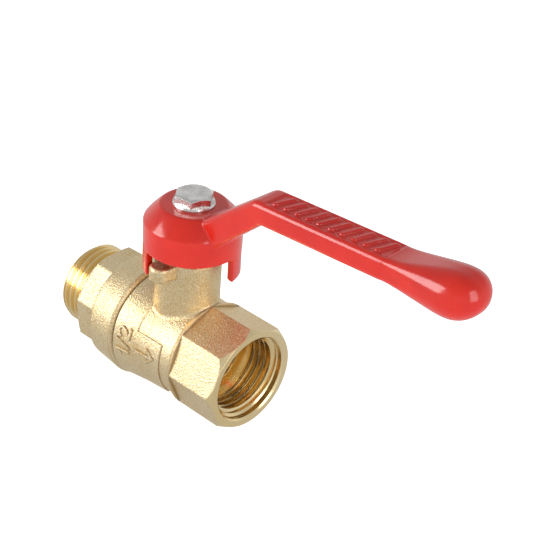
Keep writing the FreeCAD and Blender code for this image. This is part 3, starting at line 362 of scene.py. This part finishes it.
def red_paint():
    s = Shader("red_paint")
    s.set(Coat_Weight=0.5, Coat_Roughness=0.08, Specular_IOR_Level=0.42)
    cloud = s.noise(90, 3)
    fine = s.noise(1100, 2)
    s.set(Base_Color=s.mix(s.spread(cloud, 0.35, 0.65), (0.58, 0.008, 0.002), (0.67, 0.016, 0.004)))
    s.set(Roughness=s.spread(fine, 0.3, 0.7, 0.16, 0.26))
    s.set(Normal=s.bump(s.noise(330, 2), 0.16, 0.08))
    return s.material


def zinc_steel():
    s = Shader("zinc_steel", metallic=1.0)
    cloud = s.noise(400, 4)
    grain = s.noise(2400, 3)
    marks = s.cells(1300)
    tone = s.mix(s.spread(cloud, 0.35, 0.65), (0.72, 0.71, 0.69), (0.95, 0.94, 0.92))
    s.set(Base_Color=s.mix(s.spread(marks, 0.04, 0.22, 0.8, 0.0), tone, (0.34, 0.33, 0.32)))
    s.set(Roughness=s.spread(cloud, 0.3, 0.7, 0.20, 0.34))
    s.set(Normal=s.bump(grain, 0.45, 0.08, s.bump(marks, 0.3, 0.10, s.round_edges(0.10))))
    return s.material


def chrome():
    s = Shader("chromed_ball", metallic=1.0)
    haze = s.noise(500, 3)
    s.set(Base_Color=s.mix(haze, (0.78, 0.79, 0.80), (0.85, 0.86, 0.87)))
    s.set(Roughness=s.spread(haze, 0.3, 0.7, 0.05, 0.12))
    s.set(Normal=s.bump(haze, 0.04, 0.03))
    return s.material


def ptfe():
    s = Shader("white_ptfe")
    cloud = s.noise(600, 3)
    s.set(Base_Color=s.mix(cloud, (0.84, 0.84, 0.81), (0.92, 0.92, 0.90)))
    s.set(Roughness=s.spread(cloud, 0.3, 0.7, 0.38, 0.5))
    s.set(Normal=s.bump(s.noise(1500), 0.08, 0.04))
    return s.material


def rubber():
    s = Shader("black_rubber")
    cloud = s.noise(900, 3)
    s.set(Base_Color=s.mix(cloud, (0.015, 0.015, 0.016), (0.035, 0.035, 0.036)))
    s.set(Roughness=s.spread(cloud, 0.3, 0.7, 0.5, 0.7))
    s.set(Normal=s.bump(cloud, 0.15, 0.05))
    return s.material


def dress(thing, material):
    thing.data.materials.clear()
    thing.data.materials.append(material)


def new_piece(name, mesh, material, body):
    piece = place_in_scene(name, mesh)
    dress(piece, material)
    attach(piece, body)
    return piece


def outside(line, x):
    """Radius of the body at a place on the pipe axis, in mm."""
    (x0, r0), (x1, r1) = line
    return r0 + (r1 - r0) * (x - x0) / (x1 - x0)


def stroke_points(stroke):
    """The stroke's corners with points between them, so that it can bend with the body."""
    points = [Vector(stroke[0])]
    for start, end in zip(stroke, stroke[1:]):
        a, b = Vector(start), Vector(end)
        steps = max(1, round((b - a).length / STROKE_STEP))
        points += [a.lerp(b, (step + 1) / steps) for step in range(steps)]
    return points


def stroke_frames(points):
    """Each point with the way along the stroke, the way across it, and -1 or 1 at an end, else 0."""
    last = len(points) - 1
    for index, point in enumerate(points):
        before = points[max(index - 1, 0)]
        after = points[min(index + 1, last)]
        way_in = (point - before if index else after - point).normalized()
        way_out = (after - point if index < last else point - before).normalized()
        way = (way_in + way_out).normalized()
        side = Vector((-way.y, way.x)) / max(BEND_LIMIT, way.dot(way_in))
        yield point, way, side, 1 if index == last else -1 if index == 0 else 0


def raised_mark(name, strokes, material, line, x, angle, along_pipe=False):
    """Raised strokes that follow the round body; the angle runs from +Y towards +Z, in degrees."""
    shape = bmesh.new()
    reached = [point[0] for stroke in strokes for point in stroke]
    middle = (max(reached) + min(reached)) / 2

    def spot(along, up, lift):
        if along_pipe:
            place = x + (along - middle) * MARK_HEIGHT
            turn = (up - 0.5) * MARK_HEIGHT
        else:
            place = x - (up - 0.5) * MARK_HEIGHT
            turn = (along - middle) * MARK_HEIGHT
        radius = outside(line, place)
        a = math.radians(angle) - turn / radius
        distance = radius + lift
        return shape.verts.new(Vector((place, distance * math.cos(a), distance * math.sin(a))) * MM)

    for stroke in strokes:
        rows = []
        for point, way, side, end in stroke_frames(stroke_points(stroke)):
            reach = 0.5 * MARK_WIDTH / MARK_HEIGHT * end
            row = []
            for across, lift in STROKE_PROFILE:
                past = way * reach * (TOP_REACH if lift == MARK_RISE else 1)
                row.append(spot(*(point + past + side * across * MARK_WIDTH / MARK_HEIGHT), lift))
            rows.append(row)
        for first, second in zip(rows, rows[1:]):
            for k in range(len(STROKE_PROFILE)):
                m = (k + 1) % len(STROKE_PROFILE)
                shape.faces.new((first[k], first[m], second[m], second[k]))
        shape.faces.new(rows[0])
        shape.faces.new(rows[-1][::-1])
    bmesh.ops.recalc_face_normals(shape, faces=shape.faces)
    mesh = bpy.data.meshes.new(name)
    shape.to_mesh(mesh)
    shape.free()
    new_piece(name, mesh, material, "valve")


def soft_lever(material):
    """The lever with the rounded edges of a thickly painted casting."""
    work = place_in_scene("lever_work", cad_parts["lever_handle"].data.copy())
    grid = work.modifiers.new("grid", "REMESH")
    grid.mode = "VOXEL"
    grid.voxel_size = LEVER_VOXEL * MM
    ease = work.modifiers.new("ease", "SMOOTH")
    ease.factor = 0.5
    ease.iterations = LEVER_EASE_PASSES
    bpy.context.view_layer.update()
    mesh = bpy.data.meshes.new_from_object(work.evaluated_get(bpy.context.evaluated_depsgraph_get()))
    bpy.data.objects.remove(work)
    mesh.name = "lever_painted"
    mesh.polygons.foreach_set("use_smooth", [True] * len(mesh.polygons))
    piece = new_piece("lever_painted", mesh, material, "lever")
    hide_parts("lever_handle")


def make_floor():
    """Pale floor just below the valve, which does not show in reflections."""
    mesh = bpy.data.meshes.new("floor")
    half, height = FLOOR_HALF, CAD_BOX[0].z - FLOOR_GAP
    mesh.from_pydata(
        [(-half, -half, height), (half, -half, height), (half, half, height), (-half, half, height)],
        [], [(0, 1, 2, 3)])
    floor = place_in_scene("floor", mesh)
    s = Shader("floor")
    s.set(Base_Color=s.mix(s.noise(3), (0.90, 0.90, 0.90), (0.92, 0.92, 0.92)))
    s.set(Roughness=0.9, Specular_IOR_Level=0.1)
    s.set(Emission_Color=(1, 1, 1, 1), Emission_Strength=FLOOR_GLOW)
    dress(floor, s.material)
    floor.visible_glossy = False


def make_sky():
    """Grey studio light from all round, brighter or darker with the height."""
    world = bpy.data.worlds.new("studio")
    world.use_nodes = True
    tree = world.node_tree
    way = tree.nodes.new("ShaderNodeTexCoord")
    parts = tree.nodes.new("ShaderNodeSeparateXYZ")
    height = tree.nodes.new("ShaderNodeMapRange")
    ramp = tree.nodes.new("ShaderNodeValToRGB")
    background = tree.nodes["Background"]
    tree.links.new(way.outputs["Generated"], parts.inputs[0])
    tree.links.new(parts.outputs["Z"], height.inputs[0])
    height.inputs[1].default_value = -1
    tree.links.new(height.outputs[0], ramp.inputs[0])
    stops = ramp.color_ramp.elements
    for place, tone in SKY:
        stop = stops.new(place)
        stop.color = (tone, tone, tone, 1)
    stops.remove(stops[0])
    stops.remove(stops[-1])
    tree.links.new(ramp.outputs[0], background.inputs["Color"])
    background.inputs["Strength"].default_value = SKY_STRENGTH
    bpy.context.scene.world = world


make_camera()
make_floor()
make_sky()
bpy.context.scene.view_settings.view_transform = "Standard"
add_light("key", turn=-40, rise=18, distance=0.60, width=0.26, height=0.32, power=1.5)
add_light("side", turn=84, rise=18, distance=0.60, width=0.28, height=0.50, power=1.1)

cast_body = brass("cast_brass_body", body_cut, barrel_only)
cast_marks = brass("cast_brass_marks", nowhere, everywhere)
cast_tail = brass("cast_brass_tail", tail_cut, nowhere, rounding=TAIL_EDGE)
paint = red_paint()
FINISH = {
    "valve_body": cast_body,
    "male_end_connector": cast_tail,
    "joint_o_ring": rubber(),
    "ball": chrome(),
    "stem": turned_brass(),
    "lever_handle": paint,
    "handle_screw": zinc_steel(),
    "seat_ring_female_side": ptfe(),
}
# Nodes that share the finish of another node.
SAME = {
    "seat_ring_male_side": "seat_ring_female_side",
    "stem_thrust_washer": "seat_ring_female_side",
    "gland_packing_lower": "seat_ring_female_side",
    "gland_packing_upper": "seat_ring_female_side",
    "stem_o_ring_lower": "joint_o_ring",
    "stem_o_ring_upper": "joint_o_ring",
    "gland_nut": "stem",
}
for label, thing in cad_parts.items():
    dress(thing, FINISH[SAME.get(label, label)])

soft_lever(paint)
raised_mark("mark_size", HALF_INCH, cast_marks, BAND_OUTSIDE, x=-8.4, angle=172)
raised_mark("mark_flow", ARROW, cast_marks, PAD_OUTSIDE, x=-1.6, angle=175, along_pipe=True)
